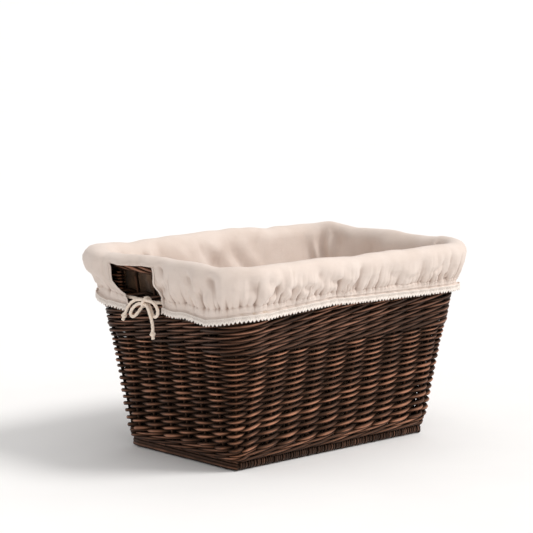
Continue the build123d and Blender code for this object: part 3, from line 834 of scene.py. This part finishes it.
def make_bottom():
    """The bag's bottom, which lies on the base and isn't quite flat."""
    nx, ny = 74, 42
    x, y = np.linspace(-0.187, 0.187, nx), np.linspace(-0.106, 0.106, ny)
    gx, gy = np.meshgrid(x, y, indexing="ij")
    bump = 1.1 * MM * value_noise_2d(gx * 24 + 30, gy * 24 + 30, 41, 64)
    fold = 1.6 * MM * np.maximum(value_noise_2d(gx * 9 + gy * 14 + 30, gy * 5 - gx * 3 + 30, 42, 64), 0)
    verts = np.stack([gx, gy, 17.2 * MM + bump + fold], -1).reshape(-1, 3)
    faces = [(i * ny + j, (i + 1) * ny + j, (i + 1) * ny + j + 1, i * ny + j + 1)
             for i in range(nx - 1) for j in range(ny - 1)]
    panel = new_object("liner_bottom_panel", verts, faces, COTTON)
    point_attribute(panel, "cloth", verts * (1, 1, 0))
    add_piece(panel, "cotton", "liner_bottom")
    return panel


def edge_runs(gap):
    """The columns of the two skirts, each from slit to slit."""
    n, closed, runs = len(gap), ~gap, []
    for start in [j for j in range(n) if closed[j] and gap[j - 1]]:
        run = [start]
        while closed[run[-1] % n]:
            run.append(run[-1] + 1)
        runs.append(np.array(run) % n)
    return runs


def sampled(values, run, at):
    return np.stack([np.interp(at, run, values[:, i]) for i in range(3)], -1)


def resample(line, pitch):
    """Points along the line about a pitch apart, and the distances of the old and the new ones along it."""
    run = distances(line)
    at = np.linspace(0, run[-1], max(2, int(round(run[-1] / pitch)) + 1))
    return sampled(line, run, at), run, at


def make_lace(cloth):
    """Lace on each hem: a ribbon with a corded line along each edge, two zigzags and a row of points."""
    laces = []
    for columns, name in zip(edge_runs(cloth.gap), ("lace_back", "lace_front")):
        direction = cloth.out[columns]
        base, run, at = resample(cloth.points[-1][columns] + direction * 0.5 * MM, 0.55 * MM)
        outward = unit(sampled(direction, run, at))
        rods = Rods()
        pitch = 6.2 * MM
        phase = at / pitch * 2 * math.pi

        def line(down, proud):
            """The lace's base line moved down, and out of the cloth, by so many mm."""
            down = np.broadcast_to(down, at.shape)[:, None]
            return base + np.array([0, 0, -1.0]) * down * MM + outward * proud * MM

        rods.add(line(-2.2, 0.6)[::2], outward[::2], 0.60 * MM, 0.5, 5)
        rods.add(line(0.1, 0.2)[::2], outward[::2], 0.25 * MM, 0.2, 6, 8.5)
        rods.add(line(2.2, 0.6)[::2], outward[::2], 0.60 * MM, 0.5, 5)
        rods.add(line(1.5 * np.sin(phase), 0.7), outward, 0.42 * MM, 0.6, 4)
        rods.add(line(-1.5 * np.sin(phase), 0.5), outward, 0.42 * MM, 0.5, 4)
        peak = 2 * np.abs(((at / pitch) % 1) - 0.5)
        for deep, radius in ((4.1, 0.95), (2.7, 0.95), (1.3, 0.85)):
            rods.add(line(2.7 + deep * peak, 0.3), outward, radius * MM, 0.7, 5)
        lace = rods.make(name + "_trim", LACE)
        add_piece(lace, "lace", name)
        laces.append(lace)
    return laces


def make_bindings(cloth):
    """Folded and stitched edges of the slits."""
    points, out, n = cloth.points, cloth.out, len(cloth.gap)
    rods = Rods()
    stitch = Rods()
    heights = cloth.rows[:, 1] * MM
    first = next(i for i in range(CREST_ROW, len(heights)) if heights[i] <= SLIT_TOP + 1e-4)
    for run in edge_runs(cloth.gap):
        for column, inner in ((run[0], run[2]), (run[-1], run[-3])):
            line = points[first:, column]
            inward = unit(points[first:, inner] - line)
            strip = line + inward * 1.6 * MM + out[column] * 0.35 * MM
            rods.add(strip, out[column], 0.55 * MM, 0.5, 8, 3.6)
            seam = resample(line + inward * 4.4 * MM + out[column] * 0.55 * MM, 0.9 * MM)[0]
            for i in range(1, len(seam) - 3, 3):
                stitch.add(seam[i:i + 3], out[column], 0.28 * MM, 0.4, 5)
    for group in np.split(np.nonzero(cloth.gap)[0], 2):
        ends = np.append(group, group[-1] + 1) % n
        line = points[first][ends]
        rods.add(line + out[ends] * 0.2 * MM + (0, 0, 1.2 * MM), out[ends[0]], 0.6 * MM, 0.5, 8, 3.0)
    binding = rods.make("slit_bindings", COTTON)
    point_attribute(binding, "cloth", np.concatenate(rods.grain))
    add_piece(binding, "cotton")
    add_piece(stitch.make("slit_stitches", LACE), "lace")


# ---- Cords --------------------------------------------------------------------------------------
# Routes of the two cord ends at the left bow, as in the CAD, in metres.
BACK_CORD = ((-.2435, .0635, .236), (-.2435, .0565, .236), (-.2461, .0475, .2369), (-.2494, .0385, .2366),
             (-.2516, .0295, .238), (-.2514, .0205, .2364), (-.2516, .0125, .232), (-.2522, .0064, .226),
             (-.2528, .0019, .2186), (-.2544, -.0046, .2154), (-.2556, -.0114, .2186), (-.2566, -.0146, .226),
             (-.2574, -.0106, .2334), (-.2572, -.003, .238), (-.2566, .006, .2386), (-.2564, .016, .2381),
             (-.2568, .026, .2384), (-.2576, .0355, .2366), (-.2576, .0445, .2314), (-.2564, .0525, .2246),
             (-.2546, .059, .217), (-.253, .0654, .2096), (-.2522, .0686, .2026))
FRONT_CORD = ((-.2435, -.0135, .236), (-.2435, -.007, .236), (-.2453, .0016, .2352), (-.2466, .0105, .2356),
              (-.2466, .019, .2346), (-.248, .0262, .2300), (-.2506, .0306, .2240), (-.2534, .0348, .2168),
              (-.2556, .0400, .2110), (-.257, .0450, .2118), (-.2578, .0454, .2172), (-.258, .0408, .2234),
              (-.2576, .0342, .2290), (-.2568, .027, .2326), (-.2565, .018, .2324), (-.2574, .0096, .2316),
              (-.2584, .004, .225), (-.2578, .0006, .2164), (-.2566, -.002, .2076), (-.2558, -.0022, .199),
              (-.255, -.0008, .1908), (-.2544, -.0014, .1834))
KNOT_AT = (-.2518, .017, .2352)
CORD_R = 2.25 * MM


def spline_points(name, route):
    """Points along one open NURBS spline through the route's control points."""
    curve = bpy.data.curves.new(name, "CURVE")
    curve.dimensions = "3D"
    spline = curve.splines.new("NURBS")
    spline.points.add(len(route) - 1)
    for point, place in zip(spline.points, route):
        point.co = (*place, 1)
    spline.order_u = 3
    spline.use_endpoint_u = True
    spline.resolution_u = 12
    holder = link(name, curve)
    bpy.context.view_layer.update()
    mesh = bpy.data.meshes.new_from_object(holder)
    points = np.array([v.co for v in mesh.vertices])
    bpy.data.objects.remove(holder)
    bpy.data.meshes.remove(mesh)
    return points


def turned(points, s):
    """Points as they are for s = 1, and turned half round the upright axis for s = -1."""
    return np.asarray(points, float) * (s, s, 1)


def make_knot(name, node, s):
    """The middle of the bow: cord wound once and a bit round the crossing."""
    rods = Rods()
    t = np.linspace(-0.35, 2.65, 70) * math.pi
    wind = np.stack([6.3 * MM * np.cos(t), 1.2 * MM * (t / math.pi - 1.1) - 3.2 * MM * np.sin(t),
                     6.4 * MM * np.sin(t)], -1)
    line = turned(np.array(KNOT_AT) + (-1.2 * MM, 0, 0) + wind, s)
    rods.add(line, (0, 1, 0), 2.35 * MM, 0.5, 20, 1.0, 4, 900)
    return add_piece(rods.make(name, CORD), "cord", node)


def make_stoppers(name, node, places, s):
    """A small overhand knot near the end of each tail."""
    rods = Rods()
    for place, ahead in places:
        ahead = unit(np.array(ahead))
        side = unit(np.cross(ahead, (1.0, 0.2, 0.1)))
        other = np.cross(ahead, side)
        t = np.linspace(0, 2 * math.pi, 90)
        a, b, c = (2 + np.cos(3 * t)) * np.cos(2 * t), (2 + np.cos(3 * t)) * np.sin(2 * t), np.sin(3 * t)
        line = place + 0.95 * MM * (a[:, None] * side + b[:, None] * other * 0.9 + 1.7 * c[:, None] * ahead)
        rods.add(line, ahead + 0.3 * side, 1.75 * MM, 0.5, 14)
    return add_piece(rods.make(name, CORD), "cord", node)


def make_bow(end, s):
    """The bow at one end: s is 1 for the left one, and -1 for the same turned half round."""
    tails, cords = [], []
    for which, route in (("back", BACK_CORD), ("front", FRONT_CORD)):
        actual = which if s == 1 else {"back": "front", "front": "back"}[which]
        points = turned(spline_points(f"{end}_{which}_route", route), s)
        run = distances(points)
        left = run[-1] - run
        radius = CORD_R * (1 + 0.28 * smooth((3.2 * MM - left) / (2 * MM)) * smooth(left / (0.6 * MM) + 0.55))
        rods = Rods()
        rods.add(points, (-s, 0.15, 0.25), radius, 0.5, 20, 1.0, 4, 900)
        cord = rods.make(f"{end}_bow_{actual}_cord", CORD)
        add_piece(cord, "cord", f"{end}_bow_cord_{actual}")
        tails.append((turned(route[-2], s), turned(route[-1], s) - turned(route[-3], s)))
        cords.append((cord, points, run[-1]))
    knot = make_knot(f"{end}_bow_wrap", f"{end}_bow_knot", s)
    stoppers = make_stoppers(f"{end}_tail_stoppers", f"{end}_tail_knots", tails, s)


def make_drawcords():
    """The drawcords in the casing, which are the CAD's own."""
    for name in ("drawcord_front", "drawcord_back"):
        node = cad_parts[name]
        node.data.materials.clear()
        node.data.materials.append(CORD)


# ---- Light and floor ----------------------------------------------------------------------------
def make_floor():
    n = Nodes("floor_white")
    where = n.add("TexCoord").outputs["Object"]
    paint = n.ramp(n.noise(where, 4.0), (0.3, 0.93), (0.7, 0.96))
    white = n.finish(Base_Color=paint, Roughness=0.9)
    size, level = 60, -0.0004
    around = [(-size, -size, level), (size, -size, level), (size, size, level), (-size, size, level)]
    floor = new_object("floor", around, [(0, 1, 2, 3)], white, False)


def make_sky():
    """A soft sky for light, with pure white behind the basket."""
    world = bpy.data.worlds.new("studio")
    bpy.context.scene.world = world
    world.use_nodes = True
    tree = world.node_tree
    sky = tree.nodes["Background"]
    sky.inputs["Color"].default_value = (1.0, 0.985, 0.975, 1)
    sky.inputs["Strength"].default_value = 0.56
    white_sky = tree.nodes.new("ShaderNodeBackground")
    white_sky.inputs["Color"].default_value = (1, 1, 1, 1)
    path, mix = tree.nodes.new("ShaderNodeLightPath"), tree.nodes.new("ShaderNodeMixShader")
    tree.links.new(path.outputs["Is Camera Ray"], mix.inputs[0])
    tree.links.new(sky.outputs[0], mix.inputs[1])
    tree.links.new(white_sky.outputs[0], mix.inputs[2])
    tree.links.new(mix.outputs[0], tree.nodes["World Output"].inputs["Surface"])


def make_lamps():
    """Two suns from the front right, a narrower one and a broad one."""
    for name, power, angle in (("key", 1.5, 20), ("broad", 0.85, 110)):
        sun = bpy.data.lights.new(name, "SUN")
        sun.energy = power
        sun.angle = math.radians(angle)
        sun.color = (1, 0.975, 0.95)
        towards_sun = Vector((0.75, -0.95, 1.45))
        link(name, sun).rotation_euler = towards_sun.to_track_quat("Z", "Y").to_euler()


make_bow("left", 1)
make_bow("right", -1)
make_drawcords()
make_stakes()
make_base()
make_siding()
make_wales()
make_bands()
make_border()
liner, wrong_side, cloth = make_liner()
bottom = make_bottom()
laces = make_lace(cloth)
make_bindings(cloth)
make_floor()
make_sky()
make_lamps()
bpy.context.scene.view_settings.view_transform = "Standard"
